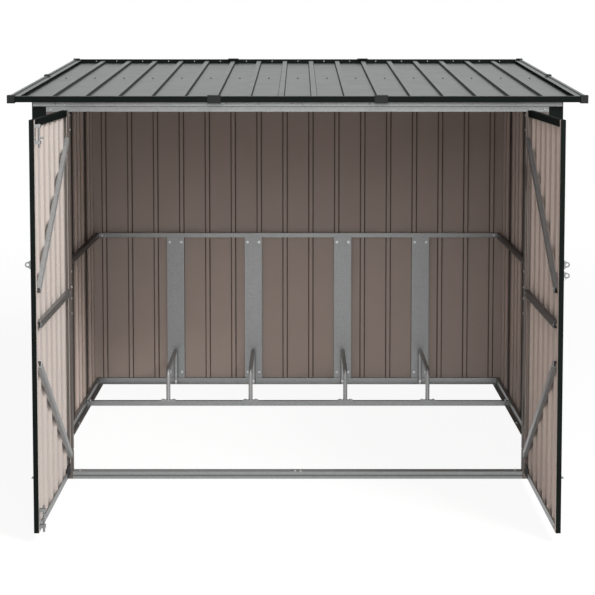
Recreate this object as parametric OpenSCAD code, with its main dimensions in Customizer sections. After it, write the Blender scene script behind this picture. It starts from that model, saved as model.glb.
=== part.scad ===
// Metal bike shed: ribbed sheet walls on a galvanised frame, a low single-pitch
// roof, two doors that open outwards and a rack of wheel hoops along the back.
// Millimetres. X runs to the right, Y from the doors to the back wall, Z up.
// The origin is on the ground, in the middle of the four anchor holes.
// The doors are drawn open, square to the front.

/* [Body] */
// Width over the corner posts
body_w = 2140; // [1900:10:2600]
// Depth over the corner posts
body_d = 2110; // [1900:10:2600]
// Height of the roof's underside at the front of the body
eaves_h = 1548; // [1400:2:1800]
// Slope of the roof in degrees, rising to the back
roof_pitch = 3.3; // [2:0.1:6]

/* [Ribbed sheet] */
// Thickness of the sheet
sheet_t = 2; // [1.5:0.1:2.5]
// Distance from one rib to the next
rib_pitch = 134.5; // [120:0.5:150]
// Width of a rib at its foot
rib_w = 28; // [24:1:34]
// Width of a rib at its crest
rib_crest_w = 17; // [12:1:20]
// Height of a rib on walls and doors
rib_h = 10; // [6:0.5:11]
// Height of a rib on the roof
roof_rib_h = 12; // [8:0.5:16]
// Width of a roof rib at its crest
roof_crest_w = 22; // [16:1:23]
// Least flat between the last rib and the piece beside it
rib_margin = 8; // [4:1:12]

/* [Posts and rails] */
// Thickness of the corner posts, jambs, rails and channels
steel_t = 2.5; // [2:0.1:3]
// Width of a front corner post on the front face
post_face = 57; // [45:1:70]
// Width of a corner post's other legs
post_leg = 30; // [20:1:34]
// Width of a door jamb on the front face
jamb_w = 92; // [80:1:120]
// Depth of the jambs and of the header
jamb_d = 40; // [34:1:50]
// Height of the header below the roof's underside at the front
header_h = 43; // [40:1:60]
// Height of the header's lower band
header_band = 20; // [14:1:24]
// Set-back of the header's upper band
header_step = 2; // [1:0.5:5]
// Height of the base rails and of the sill
rail_h = 30; // [24:1:40]
// Width of the sill
sill_w = 45; // [36:1:60]
// Depth of the groove along the sill
sill_groove = 4; // [2:0.5:6]
// Width of a base rail's top
rail_top = 18; // [14:1:24]
// Width of a base rail's foot, which lies on the ground inside
rail_foot = 20; // [20:1:26]
// Height of the mid rails' underside above the ground
mid_z = 770; // [600:5:900]
// Height of a mid rail
mid_h = 23; // [18:1:30]
// Depth of a mid rail
mid_d = 22; // [16:1:28]
// Height of the rails under the roof's edges, and of the purlin
top_rail_h = 30; // [22:1:34]
// Width of the rails under the roof's edges, and of the purlin
top_rail_w = 25; // [20:1:30]
// Distance from the body's front to the middle of the purlin
purlin_y = 1130; // [600:10:1400]

/* [Roof] */
// How far the roof reaches out at each side
roof_side = 90; // [70:5:150]
// How far the roof reaches out over the doors
roof_front = 40; // [34:2:100]
// How far the roof reaches out at the back
roof_back = 40; // [34:2:80]
// Thickness of the roof's edge trims
trim_t = 2; // [1.5:0.1:2.5]
// Width of a trim's lips
trim_lip = 20; // [14:1:26]
// Room between the ribs and the upper lips
trim_room = 6; // [4:0.5:8]
// Width of a verge trim's upper lip
verge_lip = 12; // [8:1:16]
// Step down from that lip to the trim's inner flange
verge_step = 5; // [3:0.5:6]
// Distance from the roof's side edge to the end of the inner flange
verge_reach = 36; // [30:1:44]
// Flat strip from the roof's side edge to the ribs
verge_flat = 120; // [80:5:150]
// Wall of the corner caps and joint covers
cap_t = 4; // [3:0.5:5]
// Length of a corner cap along each edge
cap_len = 30; // [24:1:60]
// Length of a joint cover
cover_len = 53; // [40:1:70]
// Distance of the front and back joint covers from the middle
cover_x = 335; // [250:5:450]
// How far a joint cover reaches past the trim's lip
cover_lap = 2; // [1:1:6]

/* [Doors] */
// Gap between a closed door and the frame behind it
door_gap = 5; // [5:0.5:8]
// Gap between the two closed doors
door_meet_gap = 6; // [5:0.5:10]
// Thickness of a door
door_t = 18; // [17:0.5:22]
// Distance from the hinge pin to the edge of the door
door_edge = 8; // [7.5:0.5:10]
// Distance from a jamb's inner edge out to the hinge pin
pin_in = 20; // [20:1:45]
// Height of the doors' lower edge above the ground
door_foot = 36; // [36:1:50]
// How far the doors reach up over the header's lower edge
door_lap = 8; // [4:1:14]
// Width of a door's edge stiles
stile_w = 25; // [20:1:30]
// Height of a door's top and bottom rails
door_rail_h = 26; // [20:1:34]
// Number of ribs on a door
door_ribs = 6; // [4:1:6]
// Distance from one rib of a door to the next
door_rib_pitch = 138; // [120:1:144]
// Width of the door braces
brace_w = 25; // [18:1:32]
// Depth of the door braces
brace_d = 15; // [10:1:18]
// Height of the upper brace at the hinge side
brace_top_z = 1395; // [1250:5:1420]
// Height of the upper brace at the free edge
brace_high_z = 906; // [850:5:1000]
// Height of the lower brace at the free edge
brace_low_z = 642; // [560:5:700]
// Height of the lower brace at the hinge side
brace_foot_z = 118; // [100:2:200]
// Length of the plastic shoe at a door's lower hinge corner
shoe_len = 110; // [80:5:130]
// Height of that shoe
shoe_h = 42; // [30:1:50]
// How far each door is open in degrees as drawn
door_open = 90; // [60:5:120]

/* [Hinges] */
// Height of a hinge
hinge_h = 100; // [80:5:140]
// Height of the lower hinges' middle above the ground
hinge_low_z = 300; // [220:10:400]
// Height of the upper hinges' middle above the ground
hinge_high_z = 1260; // [1150:10:1300]
// Radius of a hinge knuckle
knuckle_r = 6; // [5:0.5:7]
// Radius of a hinge pin
hinge_pin_r = 3; // [2.5:0.1:3.5]
// Running clearance round a hinge pin
pin_clear = 0.05; // [0.03:0.01:0.1]
// Gap between one knuckle and the next
knuckle_gap = 0.5; // [0.3:0.1:1]
// Thickness of the hinge leaves
leaf_t = 3; // [2:0.5:4]
// Width of the hinge leaves
leaf_w = 32; // [24:1:36]

/* [Locks and bolts] */
// Height of the lock lugs above the ground
lock_z = 1001; // [900:5:1100]
// Height of the right door's second lug above the ground
lock_low_z = 962; // [860:5:965]
// How far a lock lug stands out
lug_out = 22; // [21:1:26]
// Width of a lock lug's round end
lug_w = 20; // [16:1:21]
// Height of a lock lug where it meets the door
lug_base = 30; // [24:1:34]
// Thickness of a lock lug
lug_t = 3; // [2:0.5:4]
// Radius of a lock lug's hole
lug_hole_r = 5; // [4:0.5:6]
// Radius of a bolt rod
rod_r = 4; // [3:0.5:4.5]
// Running clearance round a bolt rod
rod_clear = 0.08; // [0.05:0.01:0.1]
// Height of a bolt's guide plate
guide_h = 70; // [60:5:90]
// Width of a bolt's guide plate
guide_w = 20; // [16:1:22]
// Height of one of its two guides
guide_block = 12; // [8:1:14]
// Wall of a guide outside the rod
guide_wall = 2; // [1.5:0.5:3]
// Gap from the header to the top bolt's guide plate
guide_drop = 8; // [6:1:14]
// Gap from the sill to the bottom bolt's guide plate
guide_rise = 22; // [16:1:30]
// Set-back of the bolts from the middle of the stile
rod_set = 5; // [3:0.5:6]
// Gap from a shot bolt rod to the frame's front wall
rod_room = 2; // [1.5:0.5:3]
// Play of a shot bolt rod in the frame's hole
rod_play = 2; // [1.5:0.5:3]
// Radius of a bolt's knob
knob_r = 3; // [2:0.5:3.5]
// How far the knob reaches out from the middle of the rod
knob_len = 16; // [12:1:20]
// Gap from a drawn-back bolt rod to the frame it slides into
rod_back = 7; // [6:0.5:9]

/* [Rack] */
// Distance from the body's front to the middle of the rack's floor bar
rack_y = 1508; // [1300:10:1520]
// Height of the rack's floor bar
rack_bar_h = 24; // [20:1:28]
// Depth of the rack's floor bar
rack_bar_d = 25; // [22:1:32]
// Distance of the inner hoops from the middle
hoop_in_x = 233; // [200:5:280]
// Distance of the outer hoops from the middle
hoop_out_x = 638; // [560:5:700]
// Radius of the hoops' tube
hoop_r = 10; // [8:0.5:11]
// Height of the hoops
hoop_h = 190; // [160:5:300]
// Bend of the hoops, to the middle of the tube
hoop_bend = 32; // [24:1:40]
// Width of a hoop's foot plate
foot_w = 75; // [60:1:90]
// Thickness of a foot plate
foot_t = 3; // [2:0.5:5]
// Width of the upright plates behind the hoops
upright_w = 90; // [70:1:110]
// Depth of the upright plates
upright_d = 10; // [8:1:14]

/* [Anchors] */
// Length of an anchor bracket along the wall
anchor_len = 30; // [26:1:36]
// Width of its foot out from the post
anchor_w = 22; // [20:1:30]
// Height of its upstand
anchor_h = 18; // [14:1:26]
// Radius of its bolt hole
anchor_hole_r = 4; // [3:0.5:5]

/* [Hidden] */
$fn = 48;
half_w = body_w / 2;
front = -body_d / 2;
back = body_d / 2;
// Wall sheets: inner faces of their flats, and of their ribs, which the rails stand against
flat_x = half_w - steel_t - sheet_t;
flat_y = back - steel_t - sheet_t;
wall_x = flat_x - rib_h;
wall_y = flat_y - rib_h;
// Underside and back of the header, inner edge of the jambs
header_z = eaves_h - header_h;
header_back = front + header_step + steel_t;
jamb_x = half_w - post_face - jamb_w;
// Hinge pins, seen from above, and the doors' size
pin_x = jamb_x + pin_in;
pin_y = front - door_gap - door_t;
door_w = pin_x - door_edge - door_meet_gap / 2;
door_top = header_z + door_lap;
door_far = door_edge + door_w;
// Sheet of a door: its ribs' inner faces, measured in from the door's outer face
door_sheet_y = 2 * sheet_t + rib_h;
// Bolts: place along the door and out from the frame's front face
rod_x = door_far - stile_w / 2 - rod_set;
rod_in = header_step + steel_t + rod_room + rod_r;
rod_y = door_t + door_gap + rod_in;
rod_hole_r = rod_r + rod_play;
guide_top = header_z - guide_drop;
guide_foot = rail_h + guide_rise;
// Roof: width over its verge trims, half of it, length along its slope, height of its edge trims
roof_w = body_w + 2 * roof_side;
half_roof = roof_w / 2;
trim_h = sheet_t + roof_rib_h + trim_room + 2 * trim_t;
roof_len = (roof_front + body_d + roof_back) / cos(roof_pitch);
// Base rails: how far they reach in from the walls
rail_in = rail_top + rail_foot;
// Rack: the hoops' back legs stand on the back base rail's foot
hoop_back_y = wall_y - rail_top - hoop_r;
hoop_front_y = front + rack_y;
// Anchor holes: distance from the middle of the body
anchor_x = half_w + anchor_w / 2 + steel_t / 2;
anchor_y = back - post_leg / 2;
reach = 3 * (body_w + body_d);
eps = 1;

GREEN = "#1d2824";
TAUPE = "#a89a92";
ZINC = "#9a9c9c";
BLACK = "#2b2d2c";

function roof_z(y) = eaves_h + (y - front) * tan(roof_pitch);
function turned(list) = [for (i = [len(list) - 1:-1:0]) list[i]];
function ribs_in(length) = floor((length - 2 * rib_margin - rib_w) / rib_pitch) + 1;

// One line of ribs: half widths at foot and crest, heights of flat and crest
function rib_line(count, pitch, foot, crest, low, high) = [
    for (i = [0:count - 1])
        let (mid = (i - (count - 1) / 2) * pitch)
            each [[mid - foot, low], [mid - crest, high], [mid + crest, high], [mid + foot, low]]
];

// Cross-section of a ribbed sheet along X, flat face at y = 0, ribs towards +Y
module ribbed_section(length, count, pitch, height, crest) {
    slope = atan2(height, (rib_w - crest) / 2);
    tuck = sheet_t * tan(slope / 2);
    outer = rib_line(count, pitch, rib_w / 2, crest / 2, sheet_t, sheet_t + height);
    inner = rib_line(count, pitch, rib_w / 2 - tuck, crest / 2 - tuck, 0, height);
    polygon(concat(
        [[-length / 2, sheet_t]], outer, [[length / 2, sheet_t], [length / 2, 0]],
        turned(inner), [[-length / 2, 0]]
    ));
}

// Cross-section of a channel lying on y = 0: its open side is down
module channel_section(width, depth, wall) {
    difference() {
        translate([-width / 2, 0])
            square([width, depth]);
        translate([-width / 2 + wall, -eps])
            square([width - 2 * wall, depth - wall + eps]);
    }
}

// What a child has above the roof's underside is cut away
module under_roof() {
    difference() {
        children();
        translate([0, front, eaves_h])
            rotate([roof_pitch, 0, 0])
                translate([-reach / 2, -reach / 2, 0])
                    cube([reach, reach, reach]);
    }
}

// The roof's own frame: X across, Y up the slope from the front edge, Z = 0 at the underside
module on_roof() {
    translate([0, front, eaves_h])
        rotate([roof_pitch, 0, 0])
            translate([0, -roof_front / cos(roof_pitch), 0])
                children();
}

module both_sides() {
    children();
    mirror([1, 0, 0])
        children();
}

// A length of section along X, its section's x as Y and its section's y as Z
module along_x(length) {
    translate([-length / 2, 0, 0])
        rotate([90, 0, 90])
            linear_extrude(length)
                children();
}

// A length of section from one Y to another, its section's y as Z
module along_y(from, to) {
    translate([0, to, 0])
        rotate([90, 0, 0])
            linear_extrude(to - from)
                children();
}

// Sill section: Y in from the front face, with a groove along the face
module sill_section() {
    mid = rail_h / 2;
    difference() {
        polygon([
            [0, 0], [0, mid - sill_groove], [sill_groove, mid - sill_groove / 2],
            [sill_groove, mid], [0, mid + sill_groove / 2], [0, rail_h],
            [sill_w, rail_h], [sill_w, 0]
        ]);
        translate([sill_groove + steel_t, steel_t])
            square([sill_w, rail_h - 2 * steel_t]);
    }
}

// Base rail section: a channel that lies on the ground, its outer side at x = 0
module rail_section() {
    translate([-rail_top / 2, 0])
        channel_section(rail_top, rail_h, steel_t);
}

// Section of a base rail's foot, from inside its channel's wall
module foot_section() {
    translate([-rail_in, 0])
        square([rail_foot + steel_t, steel_t]);
}

module front_sill() {
    color(ZINC)
        difference() {
            translate([0, front, 0])
                along_x(2 * jamb_x)
                    sill_section();
            translate([rod_x - pin_x, front + rod_in, rail_h / 2])
                cylinder(r = rod_hole_r, h = rail_h);
        }
}

module back_base_rail() {
    color(ZINC)
        translate([0, wall_y, 0])
            along_x(2 * (wall_x - rail_top)) {
                rail_section();
                foot_section();
            }
}

// A side base rail's foot ends at the back base rail's foot
module side_rail_foot() {
    along_y(front + steel_t, wall_y - rail_in)
        translate([wall_x, 0])
            foot_section();
}

module side_base_rail() {
    along_y(front + steel_t, wall_y)
        translate([wall_x, 0])
            rail_section();
    side_rail_foot();
}

module left_base_rail() {
    color(ZINC)
        mirror([1, 0, 0])
            side_base_rail();
}

module right_base_rail() {
    color(ZINC)
        side_base_rail();
}

// A front post's face, which covers the end of the header's lower band
module post_plate() {
    translate([half_w - post_face, front, 0])
        cube([post_face, steel_t, header_z + header_band]);
}

module front_corner_posts() {
    color(GREEN)
        both_sides()
            under_roof() {
                post_plate();
                translate([half_w - steel_t, front, 0])
                    cube([steel_t, post_leg, roof_z(front + post_leg)]);
            }
}

module back_corner_posts() {
    color(GREEN)
        both_sides()
            under_roof() {
                translate([half_w - post_leg, back - steel_t, 0])
                    cube([post_leg, steel_t, roof_z(back)]);
                translate([half_w - steel_t, back - post_leg, 0])
                    cube([steel_t, post_leg, roof_z(back)]);
            }
}

module door_jamb() {
    translate([jamb_x + jamb_w / 2, front + jamb_d, 0])
        linear_extrude(header_z)
            rotate(180)
                channel_section(jamb_w, jamb_d, steel_t);
}

module left_door_jamb() {
    color(TAUPE)
        mirror([1, 0, 0])
            door_jamb();
}

module right_door_jamb() {
    color(TAUPE)
        door_jamb();
}

// Header section: Y in from the front face, upper band set back, open at the back
module header_section() {
    top = eaves_h + jamb_d;
    band = header_z + header_band;
    bend = steel_t * tan(45 / 2);
    polygon([
        [0, header_z], [0, band], [header_step, band + header_step], [header_step, top],
        [header_step + steel_t, top], [header_step + steel_t, band + header_step - bend],
        [steel_t, band - bend], [steel_t, header_z]
    ]);
}

module front_header() {
    color(ZINC)
        difference() {
            under_roof() {
                translate([0, front, 0])
                    along_x(2 * (half_w - steel_t))
                        header_section();
                translate([-wall_x, front, header_z])
                    cube([2 * wall_x, jamb_d, steel_t]);
                translate([0, front, 0])
                    along_x(2 * wall_x)
                        polygon([
                            [header_step, eaves_h - steel_t],
                            [header_step, roof_z(front + header_step)],
                            [jamb_d, roof_z(front + jamb_d)],
                            [jamb_d, roof_z(front + jamb_d) - steel_t]
                        ]);
            }
            both_sides()
                post_plate();
            translate([rod_x - pin_x, front + rod_in, header_z - eps])
                cylinder(r = rod_hole_r, h = steel_t + 2 * eps);
        }
}

// A channel under the roof from one Y to another: its open side is down, the roof cuts its top
module roof_channel(from, to) {
    low = roof_z(from) - top_rail_h;
    difference() {
        polygon([[from, low], [from, roof_z(from) + eps], [to, roof_z(to) + eps], [to, low]]);
        polygon([
            [from + steel_t, low - eps],
            [from + steel_t, roof_z(from + steel_t) - steel_t],
            [to - steel_t, roof_z(to - steel_t) - steel_t],
            [to - steel_t, low - eps]
        ]);
    }
}

module back_top_rail() {
    color(ZINC)
        under_roof()
            along_x(2 * wall_x)
                roof_channel(wall_y - top_rail_w, wall_y);
}

// A bar that runs up under the roof, its top a given drop below the roof's underside
module sloped_bar(x, width, from, to, drop, height) {
    translate([x, 0, 0])
        rotate([90, 0, 90])
            linear_extrude(width)
                polygon([
                    [from, roof_z(from) - drop - height],
                    [to, roof_z(to) - drop - height],
                    [to, roof_z(to) - drop],
                    [from, roof_z(from) - drop]
                ]);
}

module side_top_rails() {
    low_end = front + jamb_d;
    high_end = wall_y - top_rail_w;
    inside = wall_x - top_rail_w;
    hollow_x = inside + steel_t;
    hollow_w = top_rail_w - 2 * steel_t;
    color(ZINC)
        both_sides()
            under_roof()
                difference() {
                    sloped_bar(inside, top_rail_w, low_end, high_end, -eps, top_rail_h + eps);
                    sloped_bar(hollow_x, hollow_w, low_end - eps, high_end + eps, steel_t, top_rail_h);
                }
}

module roof_purlin() {
    mid = front + purlin_y;
    color(ZINC)
        under_roof()
            along_x(2 * (wall_x - top_rail_w))
                roof_channel(mid - top_rail_w / 2, mid + top_rail_w / 2);
}

// Mid rail section: the open side is towards the wall at y = 0
module mid_section() {
    translate([0, mid_h / 2])
        rotate(90)
            channel_section(mid_h, mid_d, steel_t);
}

module back_mid_rail() {
    color(ZINC)
        translate([0, wall_y, mid_z])
            along_x(2 * (wall_x - mid_d))
                mid_section();
}

module side_mid_rails() {
    color(ZINC)
        both_sides()
            translate([0, 0, mid_z])
                along_y(front + steel_t, wall_y)
                    translate([wall_x, 0])
                        mid_section();
}

module back_wall() {
    count = ribs_in(body_w - 2 * post_leg);
    color(TAUPE)
        under_roof()
            translate([0, flat_y + sheet_t, 0])
                linear_extrude(roof_z(back))
                    mirror([0, 1])
                        ribbed_section(2 * flat_x, count, rib_pitch, rib_h, rib_crest_w);
}

module side_wall() {
    length = flat_y + sheet_t - header_back;
    count = ribs_in(length - 2 * post_leg);
    under_roof()
        translate([flat_x + sheet_t, header_back + length / 2, 0])
            linear_extrude(roof_z(back))
                rotate(90)
                    ribbed_section(length, count, rib_pitch, rib_h, rib_crest_w);
}

module left_wall() {
    color(TAUPE)
        mirror([1, 0, 0])
            side_wall();
}

module right_wall() {
    color(TAUPE)
        side_wall();
}

module roof_sheet() {
    width = roof_w - 2 * trim_t;
    count = ribs_in(width - 2 * verge_flat);
    color(GREEN)
        on_roof()
            along_y(trim_t, roof_len - trim_t)
                ribbed_section(width, count, rib_pitch, roof_rib_h, roof_crest_w);
}

// Edge trim section: outer face at x = 0, lips towards +X, the sheet lies on the lower lip
module trim_section(top_lip) {
    translate([0, -trim_t]) {
        square([trim_t, trim_h]);
        square([trim_lip, trim_t]);
        translate([0, trim_h - trim_t])
            square([top_lip, trim_t]);
    }
}

module front_fascia() {
    color(GREEN)
        on_roof()
            along_x(roof_w)
                trim_section(trim_lip);
}

// The back fascia has no upper lip, so the ribs' ends stay open to the top
module back_fascia() {
    color(GREEN)
        on_roof()
            translate([0, roof_len, 0])
                mirror([0, 1, 0])
                    along_x(roof_w)
                        trim_section(trim_t);
}

// Verge trim section: as an edge trim, but its upper lip steps down to a wider flange
module verge_section() {
    top = trim_h - trim_t;
    trim_section(verge_lip);
    translate([verge_lip - trim_t, top - trim_t - verge_step])
        square([trim_t, verge_step + trim_t]);
    translate([verge_lip - trim_t, top - trim_t - verge_step])
        square([verge_reach - verge_lip + trim_t, trim_t]);
}

module verge_trims() {
    color(GREEN)
        on_roof()
            both_sides()
                along_y(trim_lip, roof_len - trim_lip)
                    translate([-half_roof, 0])
                        verge_section();
}

// A cap or cover: a box round the trim with a wall all round, open towards the roof
module cap_block(size, hollow_from, hollow_size) {
    difference() {
        translate([0, 0, -trim_t - cap_t])
            cube([size[0], size[1], trim_h + 2 * cap_t]);
        translate([hollow_from[0], hollow_from[1], -trim_t])
            cube([hollow_size[0], hollow_size[1], trim_h]);
    }
}

module corner_cap() {
    translate([-half_roof - cap_t, -cap_t, 0])
        cap_block([cap_len, cap_len], [cap_t, cap_t], [cap_len, cap_len]);
}

module fascia_corner_caps() {
    color(BLACK)
        on_roof()
            both_sides() {
                corner_cap();
                translate([0, roof_len, 0])
                    mirror([0, 1, 0])
                        corner_cap();
            }
}

module edge_cover() {
    depth = trim_lip + cap_t + cover_lap;
    translate([-cover_len / 2, -cap_t, 0])
        cap_block([cover_len, depth], [-eps, cap_t], [cover_len + 2 * eps, depth]);
}

module fascia_joint_covers() {
    color(BLACK)
        on_roof()
            both_sides() {
                translate([cover_x, 0, 0])
                    edge_cover();
                translate([cover_x, roof_len, 0])
                    rotate(180)
                        edge_cover();
                translate([half_roof, roof_len / 2, 0])
                    rotate(90)
                        edge_cover();
            }
}

module rack_floor_bar() {
    color(ZINC)
        difference() {
            translate([0, hoop_front_y, 0])
                along_x(2 * (wall_x - rail_top))
                    channel_section(rack_bar_d, rack_bar_h, steel_t);
            both_sides()
                side_rail_foot();
        }
}

// A hoop in the plane x = 0: two legs, a bar and two bends, with a foot plate on the floor bar
module parking_hoop() {
    bar_z = hoop_h - hoop_r;
    bend_z = bar_z - hoop_bend;
    foot_z = rack_bar_h + foot_t;
    translate([0, hoop_front_y, foot_z])
        cylinder(r = hoop_r, h = bend_z - foot_z);
    translate([0, hoop_back_y, steel_t])
        cylinder(r = hoop_r, h = bend_z - steel_t);
    translate([0, hoop_front_y + hoop_bend, bar_z])
        rotate([-90, 0, 0])
            cylinder(r = hoop_r, h = hoop_back_y - hoop_front_y - 2 * hoop_bend);
    translate([0, hoop_front_y + hoop_bend, bend_z])
        rotate([90, 0, -90])
            rotate_extrude(angle = 90)
                translate([hoop_bend, 0])
                    circle(r = hoop_r);
    translate([0, hoop_back_y - hoop_bend, bend_z])
        rotate([90, 0, 90])
            rotate_extrude(angle = 90)
                translate([hoop_bend, 0])
                    circle(r = hoop_r);
    translate([-foot_w / 2, hoop_front_y - rack_bar_d / 2, rack_bar_h])
        cube([foot_w, rack_bar_d, foot_t]);
}

module placed_hoop(x) {
    color(ZINC)
        translate([x, 0, 0])
            parking_hoop();
}

module parking_hoop_1() { placed_hoop(-hoop_out_x); }
module parking_hoop_2() { placed_hoop(-hoop_in_x); }
module parking_hoop_3() { placed_hoop(hoop_in_x); }
module parking_hoop_4() { placed_hoop(hoop_out_x); }

module upright_plates() {
    color(ZINC)
        for (x = [-hoop_out_x, -hoop_in_x, hoop_in_x, hoop_out_x])
            translate([x, wall_y, rail_h])
                linear_extrude(mid_z - rail_h)
                    rotate(180)
                        channel_section(upright_w, upright_d, steel_t);
}

// An anchor bracket beside a front post: a foot with a bolt hole, an upstand and a web
module anchor_bracket() {
    low_y = -anchor_y - anchor_len / 2;
    difference() {
        union() {
            translate([half_w, low_y, 0])
                cube([anchor_w, anchor_len, steel_t]);
            translate([half_w, low_y, 0])
                cube([steel_t, anchor_len, anchor_h]);
            translate([half_w, low_y + steel_t, 0])
                rotate([90, 0, 0])
                    linear_extrude(steel_t)
                        polygon([
                            [0, 0], [anchor_w, 0], [anchor_w, steel_t],
                            [steel_t, anchor_h], [0, anchor_h]
                        ]);
        }
        translate([anchor_x, -anchor_y, -eps])
            cylinder(r = anchor_hole_r, h = steel_t + 2 * eps);
    }
}

module anchor_brackets() {
    color(ZINC)
        both_sides() {
            anchor_bracket();
            mirror([0, 1, 0])
                anchor_bracket();
        }
}

// The left door's own frame: pin at the origin, door along +X, outer face at y = 0
module on_left_door() {
    translate([-pin_x, pin_y, 0])
        rotate([0, 0, -door_open])
            children();
}

module on_right_door() {
    mirror([1, 0, 0])
        on_left_door()
            children();
}

module at_hinges() {
    for (z = [hinge_low_z, hinge_high_z])
        translate([0, 0, z - hinge_h / 2])
            children();
}

// The jamb's leaf of one hinge: plate on the jamb, arms out to the end knuckles, pin
module frame_leaf() {
    third = hinge_h / 3;
    arm_x = -knuckle_r;
    plate_y = front - pin_y - leaf_t;
    translate([arm_x - leaf_w, plate_y, 0])
        cube([leaf_w + leaf_t, leaf_t, hinge_h]);
    for (z = [0, 2 * third]) {
        translate([arm_x, 0, z])
            cube([leaf_t, plate_y + leaf_t, third]);
        translate([0, 0, z])
            cylinder(r = knuckle_r, h = third);
    }
    cylinder(r = hinge_pin_r, h = hinge_h);
}

module frame_hinge_leaves() {
    color(BLACK)
        both_sides()
            translate([-pin_x, pin_y, 0])
                at_hinges()
                    frame_leaf();
}

// The door's leaf of one hinge: plate on the door's outer face, middle knuckle round the pin
module door_leaf() {
    third = hinge_h / 3;
    middle = third - 2 * knuckle_gap;
    difference() {
        union() {
            translate([door_edge, -leaf_t, 0])
                cube([leaf_w - door_edge, leaf_t, hinge_h]);
            translate([0, -leaf_t, third + knuckle_gap])
                cube([door_edge + eps, leaf_t, middle]);
            translate([0, 0, third + knuckle_gap])
                cylinder(r = knuckle_r, h = middle);
        }
        translate([0, 0, -eps])
            cylinder(r = hinge_pin_r + pin_clear, h = hinge_h + 2 * eps);
    }
}

module door_hinge_leaves() {
    color(BLACK)
        at_hinges()
            door_leaf();
}

module door_sheet() {
    width = door_w - 2 * sheet_t;
    color(TAUPE)
        translate([door_edge + door_w / 2, sheet_t, door_foot])
            linear_extrude(door_top - sheet_t - door_foot)
                ribbed_section(width, door_ribs, door_rib_pitch, rib_h, rib_crest_w);
}

module door_stile() {
    difference() {
        cube([stile_w, door_t, door_top - door_foot]);
        translate([sheet_t, sheet_t, -eps])
            cube([stile_w, door_t - 2 * sheet_t, door_top - door_foot + 2 * eps]);
    }
}

module door_stiles() {
    color(GREEN)
        translate([0, 0, door_foot]) {
            translate([door_edge, 0, 0])
                door_stile();
            translate([door_far, 0, 0])
                mirror([1, 0, 0])
                    door_stile();
        }
}

// A door rail: a shallow channel that starts a given way past the hinge stile and is open to the sheet
module door_rail(start) {
    translate([door_edge + stile_w + start, door_sheet_y, door_rail_h / 2])
        rotate([0, 90, 0])
            linear_extrude(door_w - 2 * stile_w - start)
                channel_section(door_rail_h, door_t - door_sheet_y, sheet_t);
}

// The top rail's upper side runs on over the sheet's end to the door's outer face
module door_top_rail() {
    color(GREEN) {
        translate([0, 0, door_top - door_rail_h])
            door_rail(0);
        translate([door_edge + stile_w, 0, door_top - sheet_t])
            cube([door_w - 2 * stile_w, door_t, sheet_t]);
    }
}

module door_bottom_rail() {
    color(ZINC)
        translate([0, 0, door_foot])
            door_rail(shoe_len);
}

// A brace on the door's inner side from one point (x, z) to another
module door_brace(from, to) {
    run = to - from;
    translate([from[0], door_sheet_y, from[1]])
        rotate([0, -atan2(run[1], run[0]), 0])
            rotate([0, 90, 0])
                linear_extrude(norm(run))
                    channel_section(brace_w, brace_d, sheet_t);
}

module door_braces() {
    hinge_end = door_edge + stile_w + brace_w;
    free_end = door_far - stile_w - brace_w / 2;
    mid = mid_z + brace_w / 2;
    color(ZINC) {
        door_brace([hinge_end, brace_top_z], [free_end, brace_high_z]);
        door_brace([hinge_end, mid], [free_end, mid]);
        door_brace([hinge_end, brace_foot_z], [free_end, brace_low_z]);
    }
}

// A plastic shoe between the hinge stile and the bottom rail
module door_foot_shoe() {
    color(BLACK)
        translate([door_edge + stile_w, door_sheet_y, door_foot])
            cube([shoe_len, door_t - door_sheet_y, shoe_h]);
}

// A lock lug on the door's outer face near the free edge: it narrows to a round perforated end
module lock_lug(z) {
    end_r = lug_w / 2;
    eye = end_r - lug_out;
    lug_x = door_far - stile_w / 2 - lug_t / 2;
    translate([0, 0, z]) {
        translate([lug_x - lug_w / 2, -lug_t, -lug_base / 2])
            cube([lug_w, lug_t, lug_base]);
        translate([lug_x, 0, 0])
            rotate([90, 0, 90])
                linear_extrude(lug_t)
                    difference() {
                        union() {
                            translate([eye, 0])
                                circle(r = end_r);
                            polygon([
                                [eye, -end_r], [-lug_t, -lug_base / 2], [0, -lug_base / 2],
                                [0, lug_base / 2], [-lug_t, lug_base / 2], [eye, end_r]
                            ]);
                        }
                        translate([eye, 0])
                            circle(r = lug_hole_r);
                    }
    }
}

// A bolt's guide plate on the door's inner side, with two bored guides
module bolt_guide() {
    depth = rod_y - door_t + rod_r + guide_wall;
    translate([rod_x, door_t, 0])
        difference() {
            union() {
                translate([-guide_w / 2, 0, 0])
                    cube([guide_w, sheet_t, guide_h]);
                for (z = [0, guide_h - guide_block])
                    translate([-guide_w / 2, 0, z])
                        cube([guide_w, depth, guide_block]);
            }
            translate([0, rod_y - door_t, -eps])
                cylinder(r = rod_r + rod_clear, h = guide_h + 2 * eps);
        }
}

// A bolt rod standing on z = 0, with its knob towards the inside of the shed
module bolt_rod(length, knob_z) {
    translate([rod_x, rod_y, 0]) {
        cylinder(r = rod_r, h = length);
        translate([0, 0, knob_z])
            rotate([-90, 0, 0])
                cylinder(r = knob_r, h = knob_len);
    }
}

module left_door_sheet() { on_left_door() door_sheet(); }
module left_door_stiles() { on_left_door() door_stiles(); }
module left_door_top_rail() { on_left_door() door_top_rail(); }
module left_door_bottom_rail() { on_left_door() door_bottom_rail(); }
module left_door_braces() { on_left_door() door_braces(); }
module left_door_foot_shoe() { on_left_door() door_foot_shoe(); }
module left_door_hinge_leaves() { on_left_door() door_hinge_leaves(); }

module left_door_lock_lug() {
    color(ZINC)
        on_left_door()
            lock_lug(lock_z);
}

module left_door_bolt_guides() {
    color(ZINC)
        on_left_door() {
            translate([0, 0, guide_top - guide_h])
                bolt_guide();
            translate([0, 0, guide_foot])
                bolt_guide();
        }
}

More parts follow.
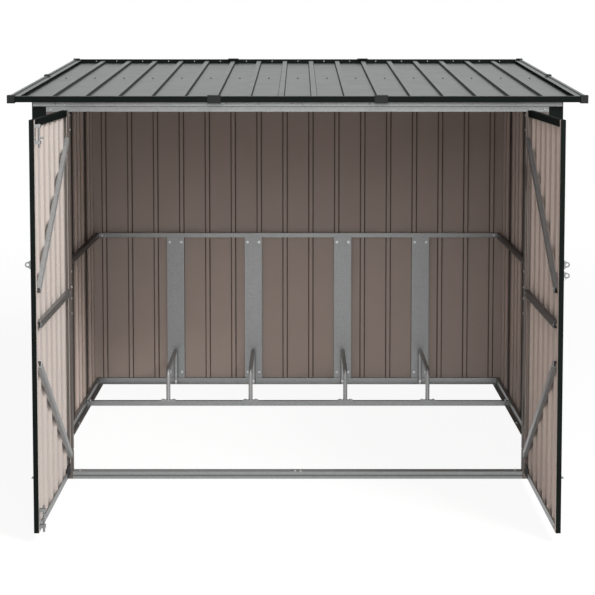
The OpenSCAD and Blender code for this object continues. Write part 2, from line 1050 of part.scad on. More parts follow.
module left_door_top_bolt() {
    tip = header_z - rod_back;
    low = guide_top - guide_h - guide_block;
    color(ZINC)
        on_left_door()
            translate([0, 0, low])
                bolt_rod(tip - low, guide_h / 2);
}

module left_door_bottom_bolt() {
    tip = rail_h + rod_back;
    high = guide_foot + guide_h + guide_block;
    color(ZINC)
        on_left_door()
            translate([0, 0, tip])
                bolt_rod(high - tip, high - tip - guide_h / 2);
}

module right_door_sheet() { on_right_door() door_sheet(); }
module right_door_stiles() { on_right_door() door_stiles(); }
module right_door_top_rail() { on_right_door() door_top_rail(); }
module right_door_bottom_rail() { on_right_door() door_bottom_rail(); }
module right_door_braces() { on_right_door() door_braces(); }
module right_door_foot_shoe() { on_right_door() door_foot_shoe(); }
module right_door_hinge_leaves() { on_right_door() door_hinge_leaves(); }

module right_door_lock_lugs() {
    color(ZINC)
        on_right_door()
            for (z = [lock_low_z, lock_z])
                lock_lug(z);
}

front_sill();
back_base_rail();
left_base_rail();
right_base_rail();
front_corner_posts();
back_corner_posts();
left_door_jamb();
right_door_jamb();
front_header();
back_top_rail();
side_top_rails();
roof_purlin();
back_mid_rail();
side_mid_rails();
back_wall();
left_wall();
right_wall();
roof_sheet();
front_fascia();
back_fascia();
verge_trims();
fascia_corner_caps();
fascia_joint_covers();
rack_floor_bar();
parking_hoop_1();
parking_hoop_2();
parking_hoop_3();
parking_hoop_4();
upright_plates();
anchor_brackets();
frame_hinge_leaves();
left_door_sheet();
left_door_stiles();
left_door_top_rail();
left_door_bottom_rail();
left_door_braces();
left_door_foot_shoe();
left_door_hinge_leaves();
left_door_lock_lug();
left_door_bolt_guides();
left_door_top_bolt();
left_door_bottom_bolt();
right_door_sheet();
right_door_stiles();
right_door_top_rail();
right_door_bottom_rail();
right_door_braces();
right_door_foot_shoe();
right_door_hinge_leaves();
right_door_lock_lugs();
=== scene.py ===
import math

import bmesh
import bpy
from mathutils import Matrix, Vector


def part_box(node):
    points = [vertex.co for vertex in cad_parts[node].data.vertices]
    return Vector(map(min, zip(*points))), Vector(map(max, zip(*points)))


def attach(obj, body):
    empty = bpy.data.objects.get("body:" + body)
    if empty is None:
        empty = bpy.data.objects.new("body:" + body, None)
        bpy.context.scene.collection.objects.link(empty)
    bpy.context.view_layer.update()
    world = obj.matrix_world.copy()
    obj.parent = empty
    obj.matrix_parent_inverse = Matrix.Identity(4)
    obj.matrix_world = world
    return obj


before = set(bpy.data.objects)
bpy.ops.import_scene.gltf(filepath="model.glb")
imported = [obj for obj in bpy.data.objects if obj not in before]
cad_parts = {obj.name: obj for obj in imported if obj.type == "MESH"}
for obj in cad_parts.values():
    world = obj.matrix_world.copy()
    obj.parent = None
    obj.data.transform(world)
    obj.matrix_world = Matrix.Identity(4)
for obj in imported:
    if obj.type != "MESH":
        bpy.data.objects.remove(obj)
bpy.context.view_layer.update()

MM = 0.001
FORWARD, BACKWARD, LEFT, RIGHT, UP, DOWN = (
    (0, -1, 0), (0, 1, 0), (-1, 0, 0), (1, 0, 0), (0, 0, 1), (0, 0, -1))

# Index of a colour mix's sockets
MIX_FACTOR, MIX_A, MIX_B, MIX_COLOUR = 0, 6, 7, 2


def colour(hex_code):
    """An sRGB hex colour as linear red, green, blue and alpha."""
    def linear(value):
        return value / 12.92 if value <= 0.04045 else ((value + 0.055) / 1.055) ** 2.4
    return [linear(int(hex_code[i:i + 2], 16) / 255) for i in (1, 3, 5)] + [1.0]


def add(tree, kind, inputs=None, **settings):
    """Adds one shader node with its settings, its input values and its links."""
    made = tree.nodes.new("ShaderNode" + kind)
    for name, value in settings.items():
        setattr(made, name, value)
    for name, value in (inputs or {}).items():
        if isinstance(value, bpy.types.NodeSocket):
            tree.links.new(value, made.inputs[name])
        else:
            made.inputs[name].default_value = value
    return made


def per_mm(size):
    """Texture scale at which one grain of the pattern measures this many millimetres."""
    return 1.0 / (size * MM)


# Finishes


def new_finish(name):
    """A material with a Principled surface, and the object's own coordinates in metres."""
    finish = bpy.data.materials.new(name)
    finish.use_nodes = True
    tree = finish.node_tree
    tree.nodes.clear()
    shader = add(tree, "BsdfPrincipled")
    add(tree, "OutputMaterial", {"Surface": shader.outputs["BSDF"]})
    place = add(tree, "TexCoord").outputs["Object"]
    return finish, tree, shader, place


def speckle(tree, shader, place, grain_mm, dark, light, rough, peel_mm, peel_height_mm):
    """Colour and roughness that drift over the surface, and a fine relief on it."""
    drift = add(tree, "TexNoise", {"Vector": place, "Scale": per_mm(grain_mm), "Detail": 4.0})
    tone = add(tree, "Mix", {
        MIX_FACTOR: drift.outputs["Fac"], MIX_A: colour(dark), MIX_B: colour(light),
    }, data_type="RGBA")
    tree.links.new(tone.outputs[MIX_COLOUR], shader.inputs["Base Color"])
    gloss = add(tree, "MapRange", {
        "Value": drift.outputs["Fac"], "To Min": rough[0], "To Max": rough[1],
    })
    tree.links.new(gloss.outputs["Result"], shader.inputs["Roughness"])
    peel = add(tree, "TexNoise", {"Vector": place, "Scale": per_mm(peel_mm), "Detail": 2.0})
    relief = add(tree, "Bump", {
        "Height": peel.outputs["Fac"], "Distance": peel_height_mm * MM, "Strength": 0.5,
    })
    tree.links.new(relief.outputs["Normal"], shader.inputs["Normal"])


def coil_coated_green(name, dark, light, rough, specular):
    """Polyester coil coat, roller-applied: near-black green, half gloss, a faint orange peel."""
    finish, tree, shader, place = new_finish(name)
    shader.inputs["IOR"].default_value = 1.5
    shader.inputs["Specular IOR Level"].default_value = specular
    speckle(tree, shader, place, 160, dark, light, rough, 4, 0.02)
    return finish


def back_coat_taupe(name, dark, light):
    """Epoxy back coat, thin and roller-applied: a warm grey-brown with a dull, even face."""
    finish, tree, shader, place = new_finish(name)
    shader.inputs["IOR"].default_value = 1.5
    shader.inputs["Specular IOR Level"].default_value = 0.25
    speckle(tree, shader, place, 220, dark, light, (0.5, 0.6), 3, 0.015)
    return finish


def galvanised_steel(name, dark, light, rough):
    """Hot-dip galvanised strip, skin-passed: small flat zinc crystals, all nearly one grey."""
    finish, tree, shader, place = new_finish(name)
    shader.inputs["Metallic"].default_value = 1.0
    spangle = add(tree, "TexVoronoi", {"Vector": place, "Scale": per_mm(6), "Randomness": 1.0})
    crystal = add(tree, "SeparateColor", {"Color": spangle.outputs["Color"]})
    tone = add(tree, "Mix", {
        MIX_FACTOR: crystal.outputs["Red"], MIX_A: colour(dark), MIX_B: colour(light),
    }, data_type="RGBA")
    tree.links.new(tone.outputs[MIX_COLOUR], shader.inputs["Base Color"])
    gloss = add(tree, "MapRange", {
        "Value": crystal.outputs["Green"], "To Min": rough[0], "To Max": rough[1],
    })
    tree.links.new(gloss.outputs["Result"], shader.inputs["Roughness"])
    return finish


def zinc_plated_steel(name, dark, light, rough):
    """Zinc plate on turned steel: pale screws and bolts with a soft shine; a darker, duller copy of it
    too.
    """
    finish, tree, shader, place = new_finish(name)
    shader.inputs["Metallic"].default_value = 1.0
    speckle(tree, shader, place, 6, dark, light, rough, 1.5, 0.02)
    return finish


def moulded_black_plastic():
    """Injection-moulded polypropylene: soft black, spark-eroded grain drawn coarse enough to show."""
    finish, tree, shader, place = new_finish("moulded_black_plastic")
    shader.inputs["IOR"].default_value = 1.49
    shader.inputs["Specular IOR Level"].default_value = 0.15
    speckle(tree, shader, place, 30, "#151616", "#1d1e1e", (0.55, 0.68), 1.6, 0.06)
    return finish


def black_painted_steel():
    """Dipped black paint on pressed steel hinges: a thin film with a low, uneven gloss."""
    finish, tree, shader, place = new_finish("black_painted_steel")
    shader.inputs["IOR"].default_value = 1.5
    speckle(tree, shader, place, 18, "#121415", "#1d1f20", (0.35, 0.5), 2.5, 0.03)
    return finish


# Outer coat: posts and trims, the roof, the doors' top rails, walls, and the flanks of the roof's
# ribs, which are a darker, matt copy: painted shade
GREEN = coil_coated_green("coil_coated_green", "#070b09", "#0a100e", (0.34, 0.44), 0.06)
ROOF_GREEN = coil_coated_green("coil_coated_roof", "#161f1c", "#1c2623", (0.32, 0.40), 0.46)
TOP_GREEN = coil_coated_green("coil_coated_door_top", "#070b09", "#0a100e", (0.75, 0.85), 0.02)
WALL_GREEN = coil_coated_green("coil_coated_wall", "#0d1412", "#121a17", (0.34, 0.44), 0.16)
SHADED_FLANK_GREEN = coil_coated_green("coil_coated_rib_flank_painted_shade", "#0d1311", "#111917", (0.55, 0.65), 0.1)

# Back coat: walls and right door, the left door in a paler copy painted light, and darker copies
# painted shade on the jambs, the flanks of the back wall and roof, the flanks of the left door, and
# the joints of the side walls' sheets
TAUPE = back_coat_taupe("back_coat_taupe", "#a1928a", "#aa9b93")
LIT_DOOR_TAUPE = back_coat_taupe("back_coat_lit_door_painted_light", "#a29994", "#aba29d")
SHADED_JAMB_TAUPE = back_coat_taupe("back_coat_jamb_painted_shade", "#4b4440", "#534c48")
SHADED_FOLD_TAUPE = back_coat_taupe("back_coat_fold_painted_shade", "#5d534d", "#665c56")
SHADED_DOOR_FOLD = back_coat_taupe("back_coat_door_fold_painted_shade", "#968d87", "#9e958f")
LAP_SHADE_TAUPE = back_coat_taupe("back_coat_lap_painted_shade", "#332d29", "#3a342f")

# Galvanised strip: the frame; its matt pieces in a lighter copy, painted light; the side walls' mid
# rails in a darker copy, painted shade; the header's lip a little darker, painted shade
ZINC = galvanised_steel("galvanised_steel", "#818282", "#898a8a", (0.40, 0.45))
LIT_MATT_ZINC = galvanised_steel("galvanised_matt_painted_light", "#9c9d9d", "#a4a5a5", (0.60, 0.66))
SHADED_ZINC = galvanised_steel("galvanised_painted_shade", "#515252", "#585959", (0.40, 0.45))
SHADED_LIP_ZINC = galvanised_steel("galvanised_lip_painted_shade", "#737474", "#7b7c7c", (0.42, 0.47))

BOLT = zinc_plated_steel("zinc_plated_steel", "#b4b6b5", "#cfd1d0", (0.25, 0.38))
DULL_BOLT = zinc_plated_steel("darker_duller_zinc_plate", "#a4a6a5", "#b2b4b3", (0.45, 0.55))
PLASTIC = moulded_black_plastic()
BLACK = black_painted_steel()


# Places taken from the frame

header_low, header_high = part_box("front_header")
sill_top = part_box("front_sill")[1].z
jamb_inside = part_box("right_door_jamb")[0].x
back_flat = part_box("back_wall")[1].y
side_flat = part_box("right_wall")[1].x
rail_low, rail_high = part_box("back_mid_rail")
FRONT = header_low.y
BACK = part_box("back_corner_posts")[1].y
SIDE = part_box("front_corner_posts")[1].x
MID_RAIL_Z = (rail_low.z + rail_high.z) / 2

# Distance from rib to rib, slope of the roof, thickness of the frame, height of a door's level brace
RIB_PITCH = 0.1345
ROOF_PITCH = math.radians(3.3)
STEEL = 0.0025
MID_BRACE_Z = 0.7825


# CAD pieces

# How far a face's direction agrees with another: straight along it, slanted, or square to it
STRAIGHT, SLANTED, SQUARE = 0.9, 0.5, 0.05


def dress(name, *finishes, pick=None):
    """Gives a CAD node its finishes; where it has several, pick gives the number of a face's own."""
    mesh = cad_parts[name].data
    mesh.materials.clear()
    for finish in finishes:
        mesh.materials.append(finish)
    if pick:
        for face in mesh.polygons:
            face.material_index = int(pick(face))


def sheet_face(face, outward):
    """Number of a sheet's finish: outer flat, outer flank, inner flat, inner flank, cut edge."""
    facing = face.normal.dot(Vector(outward))
    if abs(facing) < SQUARE:
        return 4
    return (0 if facing > 0 else 2) + (abs(facing) < STRAIGHT)


# Side walls: on every fourth rib one sheet laps over the next, and the front flank there is painted
# dark as the joint's shade
FIRST_LAP = -0.9405
LAPPED_RIBS = [FIRST_LAP + 4 * i * RIB_PITCH for i in range(4)]
LAP_REACH = 0.020
FRONT_FLANK = (-0.95, -0.2)


def side_wall_face(face, outward):
    """As on any sheet, and after those numbers the joint of two lapped sheets, painted dark as shade.
    """
    inward = face.normal.x * face.center.x < 0
    if inward and FRONT_FLANK[0] < face.normal.y < FRONT_FLANK[1]:
        if any(abs(face.center.y - rib) < LAP_REACH for rib in LAPPED_RIBS):
            return 5
    return sheet_face(face, outward)


# Doors: the hinge stile lies behind this place on an open door
DOOR_MIDDLE = -1.5


def stile_face(face, outward):
    """Number of a stile's finish: outside, inner flange, the hinge side's inner flange (painted shade)
    and fold.
    """
    at_hinge = face.center.y > DOOR_MIDDLE
    if face.normal.dot(Vector(outward)) < -STRAIGHT:
        return 2 if at_hinge else 1
    return 3 if at_hinge and face.normal.y < -STRAIGHT else 0


# Header: its lip lies within this distance of the front
LIP_REACH = 0.0005


def header_face(face):
    """Number of the header's finish: its upper band, its lip in a darker copy (painted shade), and the
    bevel between them in a lighter matt copy (painted light).
    """
    if face.normal.z > SLANTED:
        return 2
    return face.center.y < FRONT + LIP_REACH


# Braces: the level one lies within this distance of its middle
BRACE_REACH = 0.020

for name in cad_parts:
    dress(name, ZINC)
for finish, names in (
    (GREEN, ("front_corner_posts", "back_corner_posts", "front_fascia", "back_fascia")),
    (ROOF_GREEN, ("verge_trims",)),
    (PLASTIC, ("fascia_corner_caps", "fascia_joint_covers")),
    # Jambs: the back coat, darkened as painted shade
    (SHADED_JAMB_TAUPE, ("left_door_jamb", "right_door_jamb")),
    (BLACK, ("frame_hinge_leaves",)),
    # Side walls' mid rails: a darker zinc, painted shade
    (SHADED_ZINC, ("side_mid_rails",)),
    # Hoops: a lighter matt zinc, painted light
    (LIT_MATT_ZINC, ("parking_hoop_1", "parking_hoop_2", "parking_hoop_3", "parking_hoop_4")),
):
    for name in names:
        dress(name, finish)

dress("front_header", ZINC, SHADED_LIP_ZINC, LIT_MATT_ZINC, pick=header_face)
# Sill: its upward faces in a lighter matt zinc, painted light
dress("front_sill", ZINC, LIT_MATT_ZINC, pick=lambda face: face.normal.z > STRAIGHT)
# Back wall: the flanks of its ribs inside in a darker copy of the back coat: painted shade
dress("back_wall", WALL_GREEN, WALL_GREEN, TAUPE, SHADED_FOLD_TAUPE, ZINC,
      pick=lambda face: sheet_face(face, BACKWARD))
# Roof: the flanks of its ribs, outside and inside, in darker copies of the coats: painted shade
dress("roof_sheet", ROOF_GREEN, SHADED_FLANK_GREEN, TAUPE, SHADED_FOLD_TAUPE, ZINC,
      pick=lambda face: sheet_face(face, UP))
for wall, outward in (("left_wall", LEFT), ("right_wall", RIGHT)):
    dress(wall, WALL_GREEN, WALL_GREEN, TAUPE, TAUPE, ZINC, LAP_SHADE_TAUPE,
          pick=lambda face: side_wall_face(face, outward))
# Doors: the left door's back coat is a paler copy, painted light, and its rib flanks a darker one,
# painted shade; its slanted braces take the lighter matt zinc, painted light; each door's level brace
# is a step darker than its slanted ones, painted shade
for door, outward, inner, fold, slanted_brace, level_brace in (
    ("left_door", LEFT, LIT_DOOR_TAUPE, SHADED_DOOR_FOLD, LIT_MATT_ZINC, ZINC),
    ("right_door", RIGHT, TAUPE, TAUPE, ZINC, SHADED_ZINC),
):
    dress(door + "_sheet", WALL_GREEN, WALL_GREEN, inner, fold, GREEN,
          pick=lambda face: sheet_face(face, outward))
    dress(door + "_stiles", GREEN, inner, SHADED_JAMB_TAUPE, fold,
          pick=lambda face: stile_face(face, outward))
    dress(door + "_braces", slanted_brace, level_brace,
          pick=lambda face: abs(face.center.z - MID_BRACE_Z) < BRACE_REACH)
    dress(door + "_top_rail", TOP_GREEN)
    dress(door + "_hinge_leaves", BLACK)
    dress(door + "_foot_shoe", PLASTIC)


# Fasteners

# Rings from the seat up to the crown, as radius and height in millimetres
HEX_HEAD = ((5.2, 1.2), (5.77, 1.5), (5.77, 4.6), (5.0, 5.2))
WASHER = ((6.6, 0.0), (7.0, 0.3), (7.0, 1.1), (6.6, 1.4))
PAN_HEAD = ((4.6, 0.0), (4.6, 0.7), (3.9, 1.7), (2.2, 2.4), (1.7, 2.4), (1.3, 1.3))
ROOFING_FLANGE = ((5.2, 0.0), (5.2, 0.5), (4.2, 1.0))
ROOFING_HEAD = ((3.3, 0.8), (3.6, 1.0), (3.6, 2.9), (3.1, 3.3))
RIVET_HEAD = ((2.8, 0.0), (2.7, 0.6), (1.9, 1.2), (0.9, 1.4))
# How far each fastener of a row is turned from the one before, in radians
SPIN_STEP = 0.7


def turned(mesh, rings, sides, seat):
    """A closed stack of rings on a seat, whose Z points out of the surface."""
    loops = []
    for radius, height in rings:
        loop = []
        for i in range(sides):
            angle = 2 * math.pi * i / sides
            point = Vector((radius * math.cos(angle), radius * math.sin(angle), height)) * MM
            loop.append(mesh.verts.new(seat @ point))
        loops.append(loop)
    for low, high in zip(loops, loops[1:]):
        for i in range(sides):
            j = (i + 1) % sides
            mesh.faces.new((low[i], low[j], high[j], high[i]))
    mesh.faces.new(loops[0][::-1])
    mesh.faces.new(loops[-1])


def hex_bolt(mesh, seat):
    turned(mesh, WASHER, 18, seat)
    turned(mesh, HEX_HEAD, 6, seat)


def pan_screw(mesh, seat):
    turned(mesh, PAN_HEAD, 14, seat)


def roofing_screw(mesh, seat):
    turned(mesh, ROOFING_FLANGE, 16, seat)
    turned(mesh, ROOFING_HEAD, 6, seat)


def rivet(mesh, seat):
    turned(mesh, RIVET_HEAD, 12, seat)


def seat_at(point, outward, spin):
    """The place of a fastener: its seat's middle and the way that it points."""
    turn = Vector(outward).to_track_quat("Z", "Y").to_matrix().to_4x4()
    return Matrix.Translation(Vector(point)) @ turn @ Matrix.Rotation(spin, 4, "Z")


def fasteners(name, body, make, finish, seats):
    """One joined piece of like fasteners that moves with a body."""
    mesh = bmesh.new()
    for i, (point, outward) in enumerate(seats):
        make(mesh, seat_at(point, outward, i * SPIN_STEP))
    data = bpy.data.meshes.new(name)
    mesh.to_mesh(data)
    mesh.free()
    data.materials.append(finish)
    piece = bpy.data.objects.new(name, data)
    bpy.context.scene.collection.objects.link(piece)
    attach(piece, body)


def mirrored(seats):
    """The same seats on both sides of the shed."""
    return seats + [((-p[0], p[1], p[2]), (-d[0], d[1], d[2])) for p, d in seats]


# Header: a row along its upper band, pairs under it beside the middle, one at each end
HEADER_STEP = 0.002
HEADER_ROW_X, HEADER_ROW_Z = (0.021, 0.155, 0.288, 0.938, 0.977), 1.536
HEADER_UNDER_X, HEADER_UNDER_IN = (0.021, 0.118), 0.015
HEADER_END_X, HEADER_END_Z = 0.9955, 1.514
header_seats = [((x, FRONT + HEADER_STEP, HEADER_ROW_Z), FORWARD) for x in HEADER_ROW_X]
header_seats += [((x, FRONT + HEADER_UNDER_IN, header_low.z), DOWN) for x in HEADER_UNDER_X]
header_seats += [((HEADER_END_X, FRONT, HEADER_END_Z), FORWARD)]
fasteners("header_bolts", "shed", pan_screw, DULL_BOLT, mirrored(header_seats))

# Sill: its two lengths meet in the middle; places from the middle, and in from the front
SILL_BOLTS = ((0.012, 0.012), (0.895, 0.022))
sill_seats = [((x, FRONT + depth, sill_top), UP) for x, depth in SILL_BOLTS]
fasteners("sill_bolts", "shed", hex_bolt, BOLT, mirrored(sill_seats))

JAMB_SCREW_IN = 0.020
JAMB_SCREW_Z = (0.12, 0.18, 0.682, 0.744, 0.790, 0.854, 1.431, 1.490)
jamb_seats = [((jamb_inside, FRONT + JAMB_SCREW_IN, z), LEFT) for z in JAMB_SCREW_Z]
fasteners("jamb_screws", "shed", pan_screw, BOLT, mirrored(jamb_seats))

# Hinge leaves: three screws in each, on the jambs and on the doors
PIN_X, PIN_Y = 0.941, -1.078
LEAF = 0.003
HINGE_MIDDLES, HINGE_SCREW_STEP = (0.300, 1.260), 0.034
HINGE_SCREW_Z = [mid + step * HINGE_SCREW_STEP for mid in HINGE_MIDDLES for step in (-1, 0, 1)]
FRAME_LEAF_OUT, DOOR_LEAF_ALONG = 0.026, 0.020
frame_leaf_seats = [((PIN_X + FRAME_LEAF_OUT, FRONT - LEAF, z), FORWARD) for z in HINGE_SCREW_Z]
fasteners("frame_hinge_screws", "shed", pan_screw, BLACK, mirrored(frame_leaf_seats))


def roof_underside(y):
    """Height of the roof's underside at a place from front to back."""
    return header_high.z + (y - header_high.y) * math.tan(ROOF_PITCH)


# Walls outside: a screw in each flat between two ribs, along the base, mid and top rails
FLATS_EACH_WAY = range(-7, 8)
BASE_ROW_Z = 0.016
BACK_TOP_ROW, SIDE_TOP_ROW = 0.017, 0.015
SIDE_ROW_Y = 0.002
wall_seats = []
for i in FLATS_EACH_WAY:
    for z in (BASE_ROW_Z, MID_RAIL_Z, roof_underside(BACK) - BACK_TOP_ROW):
        wall_seats.append(((i * RIB_PITCH, back_flat, z), BACKWARD))
side_seats = []
for i in FLATS_EACH_WAY:
    y = SIDE_ROW_Y + (i + 0.5) * RIB_PITCH
    for z in (BASE_ROW_Z, MID_RAIL_Z, roof_underside(y) - SIDE_TOP_ROW):
        side_seats.append(((side_flat, y, z), RIGHT))
wall_seats += mirrored(side_seats)

# Corner posts: a column of screws on each outer face
POST_SCREW_IN, POST_FACE_IN = 0.015, 0.020
for z in (0.09, 0.42, 0.76, 1.10, 1.44):
    wall_seats += mirrored([
        ((SIDE, FRONT + POST_SCREW_IN, z), RIGHT), ((SIDE, BACK - POST_SCREW_IN, z), RIGHT),
        ((SIDE - POST_SCREW_IN, BACK, z), BACKWARD), ((SIDE - POST_FACE_IN, FRONT, z), FORWARD),
    ])
fasteners("wall_screws", "shed", roofing_screw, SHADED_FLANK_GREEN, wall_seats)

# Roof: its own frame runs up the slope from the front edge
ROOF_OVERHANG = 0.040
ROOF_SHEET = 0.002
roof_front = FRONT - ROOF_OVERHANG
roof_length = (BACK + ROOF_OVERHANG - roof_front) / math.cos(ROOF_PITCH)
on_roof = (Matrix.Translation((0, roof_front, roof_underside(roof_front)))
           @ Matrix.Rotation(ROOF_PITCH, 4, "X"))


def roof_seat(x, up_slope, height, outward):
    """A seat given across the roof, up its slope and above its underside."""
    point = on_roof @ Vector((x, up_slope, height))
    return tuple(point), tuple(on_roof.to_3x3() @ Vector(outward))


purlin_low, purlin_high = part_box("roof_purlin")
purlin_row = ((purlin_low.y + purlin_high.y) / 2 - roof_front) / math.cos(ROOF_PITCH)
roof_seats = [roof_seat(i * RIB_PITCH, purlin_row, ROOF_SHEET, UP) for i in range(-8, 9)]
fasteners("roof_screws", "shed", roofing_screw, ROOF_GREEN, roof_seats)

# Back fascia: rivets between the ribs, on both of its faces, and one at each end inside
FASCIA_SHEET, FASCIA_RIVET_UP, FASCIA_END_X = 0.002, 0.0115, 1.048
fascia_inside = roof_length - FASCIA_SHEET
fascia_seats = []
for i in FLATS_EACH_WAY:
    fascia_seats.append(roof_seat(i * RIB_PITCH, fascia_inside, FASCIA_RIVET_UP, FORWARD))
    fascia_seats.append(roof_seat(i * RIB_PITCH, roof_length, FASCIA_RIVET_UP, BACKWARD))
for x in (-FASCIA_END_X, FASCIA_END_X):
    fascia_seats.append(roof_seat(x, fascia_inside, FASCIA_RIVET_UP, FORWARD))
fasteners("back_fascia_rivets", "shed", rivet, DULL_BOLT, fascia_seats)

# Rack: two bolts in each hoop's foot, one in its back leg, four in its upright plate
FOOT_BOLT_X, FOOT_PLATE = 0.026, 0.003
HOOP_TUBE, HEEL_BOLT_Z = 0.020, 0.018
PLATE_BOLT_X, PLATE_BOLT_Z = 0.030, (0.060, 0.745)
END_BOLT_IN = 0.014
plate_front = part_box("upright_plates")[0].y
bar_low, bar_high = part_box("rack_floor_bar")
bar_y = (bar_low.y + bar_high.y) / 2
rack_seats = []
for i in (1, 2, 3, 4):
    hoop_low, hoop_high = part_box("parking_hoop_%d" % i)
    x = (hoop_low.x + hoop_high.x) / 2
    for step in (-FOOT_BOLT_X, FOOT_BOLT_X):
        rack_seats.append(((x + step, bar_y, bar_high.z + FOOT_PLATE), UP))
    rack_seats.append(((x, hoop_high.y - HOOP_TUBE, HEEL_BOLT_Z), FORWARD))
    for z in PLATE_BOLT_Z:
        for step in (-PLATE_BOLT_X, PLATE_BOLT_X):
            rack_seats.append(((x + step, plate_front, z), FORWARD))
rack_seats += mirrored([((bar_high.x - END_BOLT_IN, bar_y, bar_high.z), UP)])
rack_seats += mirrored([((rail_high.x - END_BOLT_IN, rail_low.y, MID_RAIL_Z), FORWARD)])
fasteners("rack_bolts", "shed", hex_bolt, BOLT, rack_seats)

# Base rails and anchor brackets
BASE_BOLT_IN, BASE_BOLT_Y = 0.010, 0.020
ANCHOR_SCREW_Y, ANCHOR_SCREW_Z = 1.036, 0.0105
foot_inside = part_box("right_base_rail")[0].x
foot_seats = mirrored([((foot_inside + BASE_BOLT_IN, BASE_BOLT_Y, STEEL), UP)])
fasteners("base_rail_bolts", "shed", hex_bolt, BOLT, foot_seats)
anchor_seats = mirrored([
    ((SIDE + STEEL, y, ANCHOR_SCREW_Z), RIGHT) for y in (-ANCHOR_SCREW_Y, ANCHOR_SCREW_Y)])
fasteners("anchor_screws", "shed", pan_screw, BOLT, anchor_seats)

# Doors, as drawn open: places along a door are measured from its pin, depths from its outer face
DOOR_FACE, BRACE_FACE = 0.018, 0.029
BRACE_FROM, BRACE_TO, BRACE_BOLT_IN = 0.058, 0.9005, 0.012
BRACE_HEIGHTS = ((1.395, 0.906), (MID_BRACE_Z, MID_BRACE_Z), (0.118, 0.642))
RAIL_BOLT_ALONG, RAIL_BOLT_Z = 0.895, 0.049
LUG_RIVET_ALONG, LUG_RIVET_STEP = (0.9185, 0.9325), 0.010
GUIDE_PLATE, GUIDE_Z = 0.002, (0.087, 1.462)
GUIDE_RIVET_ALONG, GUIDE_RIVET_STEP = (0.9135, 0.9275), 0.012


def on_door(side, along, inward, z):
    """A point of an open door: along it from the pin, in from its outer face, up."""
    return (side * (PIN_X - inward), PIN_Y - along, z)


for door, side, outside, inside, lug_heights in (
    ("left_door", -1, LEFT, RIGHT, (1.001,)),
    ("right_door", 1, RIGHT, LEFT, (0.962, 1.001)),
):
    brace_seats = []
    for from_z, to_z in BRACE_HEIGHTS:
        start, end = Vector((BRACE_FROM, from_z)), Vector((BRACE_TO, to_z))
        bolt_in = (end - start).normalized() * BRACE_BOLT_IN
        for along, z in (start + bolt_in, end - bolt_in):
            brace_seats.append((on_door(side, along, BRACE_FACE, z), inside))
    brace_seats.append((on_door(side, RAIL_BOLT_ALONG, DOOR_FACE, RAIL_BOLT_Z), inside))
    fasteners(door + "_brace_bolts", door, pan_screw, ZINC, brace_seats)
    leaf_seats = [(on_door(side, DOOR_LEAF_ALONG, -LEAF, z), outside) for z in HINGE_SCREW_Z]
    fasteners(door + "_hinge_screws", door, pan_screw, BLACK, leaf_seats)
    lug_seats = []
    for z in lug_heights:
        for along in LUG_RIVET_ALONG:
            for step in (-LUG_RIVET_STEP, LUG_RIVET_STEP):
                lug_seats.append((on_door(side, along, -LEAF, z + step), outside))
    fasteners(door + "_lug_rivets", door, rivet, BOLT, lug_seats)

guide_seats = []
for z in GUIDE_Z:
    for along in GUIDE_RIVET_ALONG:
        for step in (-GUIDE_RIVET_STEP, GUIDE_RIVET_STEP):
            guide_seats.append((on_door(-1, along, DOOR_FACE + GUIDE_PLATE, z + step), RIGHT))
fasteners("left_door_guide_rivets", "left_door", rivet, BOLT, guide_seats)


# Camera, lamps, floor and surroundings

# Camera: a long lens a little above the roof's height, square to the doors
CAMERA_AT = (0.0068, -8.3786, 1.7893)
CAMERA_DOWN = 5.079
CAMERA_LENS = 109.94
CAMERA_SHIFT = (-0.0030, -0.16)
camera_data = bpy.data.cameras.new("camera")
camera_data.sensor_width = 36.0
camera_data.lens = CAMERA_LENS
camera_data.shift_x, camera_data.shift_y = CAMERA_SHIFT
camera_data.clip_end = 200.0
camera = bpy.data.objects.new("camera", camera_data)
camera.location = CAMERA_AT
camera.rotation_euler = (math.radians(90 - CAMERA_DOWN), 0, 0)
bpy.context.scene.collection.objects.link(camera)
bpy.context.scene.camera = camera


def area_lamp(name, at, towards, size, power):
    """A round soft lamp, its size in metres and its power in watts."""
    lamp_data = bpy.data.lights.new(name, "AREA")
    lamp_data.shape = "DISK"
    lamp_data.size = size
    lamp_data.energy = power
    lamp = bpy.data.objects.new(name, lamp_data)
    lamp.location = at
    lamp.rotation_euler = (Vector(towards) - Vector(at)).to_track_quat("-Z", "Y").to_euler()
    bpy.context.scene.collection.objects.link(lamp)


area_lamp("key_lamp", at=(4.5, -7.0, 6.5), towards=(0, -0.5, 0.7), size=3.0, power=1200)
area_lamp("fill_lamp", at=(0.0, -10.0, 4.5), towards=(0, -0.5, 0.4), size=5.0, power=420)


def seen_directly(tree):
    """1 for rays from the camera, mirrors and glass, 0 for the light that surfaces receive."""
    path = add(tree, "LightPath")
    seen_or_mirrored = add(tree, "Math", {
        0: path.outputs["Is Camera Ray"], 1: path.outputs["Is Glossy Ray"],
    }, operation="MAXIMUM")
    any_of_three = add(tree, "Math", {
        0: seen_or_mirrored.outputs[0], 1: path.outputs["Is Transmission Ray"],
    }, operation="MAXIMUM")
    return any_of_three.outputs[0]


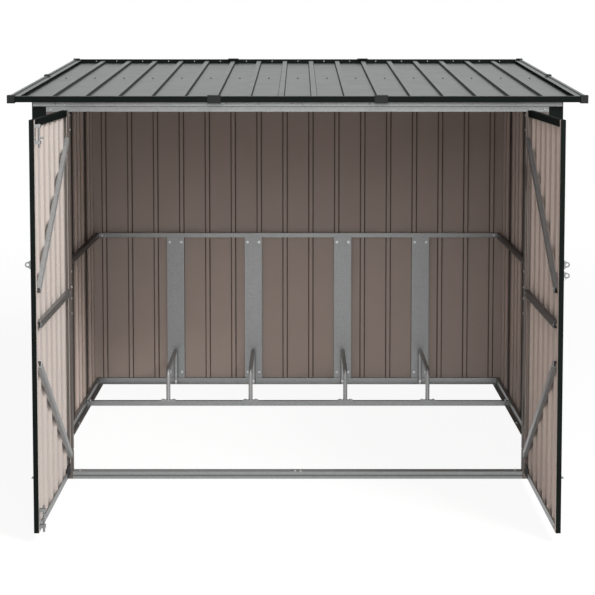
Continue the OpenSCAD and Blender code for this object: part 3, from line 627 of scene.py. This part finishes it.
AMBIENT = 0.24
world = bpy.data.worlds.new("white_studio")
world.use_nodes = True
bpy.context.scene.world = world
tree = world.node_tree
tree.nodes.clear()
lit = add(tree, "Background", {"Color": colour("#ffffff"), "Strength": AMBIENT})
seen = add(tree, "Background", {"Color": colour("#ffffff"), "Strength": 1.0})
studio = add(tree, "MixShader", {
    0: seen_directly(tree), 1: lit.outputs["Background"], 2: seen.outputs["Background"],
})
add(tree, "OutputWorld", {"Surface": studio.outputs["Shader"]})

# The floor is white paper: it takes a soft shadow near the shed, and farther off, from the nearer
# to the farther of the two distances, it fades into the white surroundings
FLOOR_REACH, FLOOR_DROP = 40.0, 0.001
FLOOR_GLOW = (0.92, 1.0)
FLOOR_FADE = (3.0, 8.0)
floor_mesh = bmesh.new()
bmesh.ops.create_grid(floor_mesh, x_segments=8, y_segments=8, size=FLOOR_REACH)
floor_data = bpy.data.meshes.new("paper_floor")
floor_mesh.to_mesh(floor_data)
floor_mesh.free()
floor = bpy.data.objects.new("paper_floor", floor_data)
floor.location.z = -FLOOR_DROP
bpy.context.scene.collection.objects.link(floor)
paper = bpy.data.materials.new("white_paper")
paper.use_nodes = True
tree = paper.node_tree
tree.nodes.clear()
dull = add(tree, "BsdfDiffuse", {"Color": colour("#f4f4f2")})
glow = add(tree, "Emission", {"Color": colour("#ffffff"), "Strength": 1.0})
place = add(tree, "TexCoord").outputs["Object"]
away = add(tree, "VectorMath", {0: place}, operation="LENGTH")
fade = add(tree, "MapRange", {
    "Value": away.outputs["Value"], "From Min": FLOOR_FADE[0], "From Max": FLOOR_FADE[1],
    "To Min": FLOOR_GLOW[0], "To Max": FLOOR_GLOW[1],
})
share = add(tree, "Math", {
    0: seen_directly(tree), 1: fade.outputs["Result"],
}, operation="MULTIPLY")
sheet = add(tree, "MixShader", {
    0: share.outputs[0], 1: dull.outputs["BSDF"], 2: glow.outputs["Emission"],
})
add(tree, "OutputMaterial", {"Surface": sheet.outputs["Shader"]})
floor_data.materials.append(paper)

bpy.context.scene.view_settings.view_transform = "Standard"
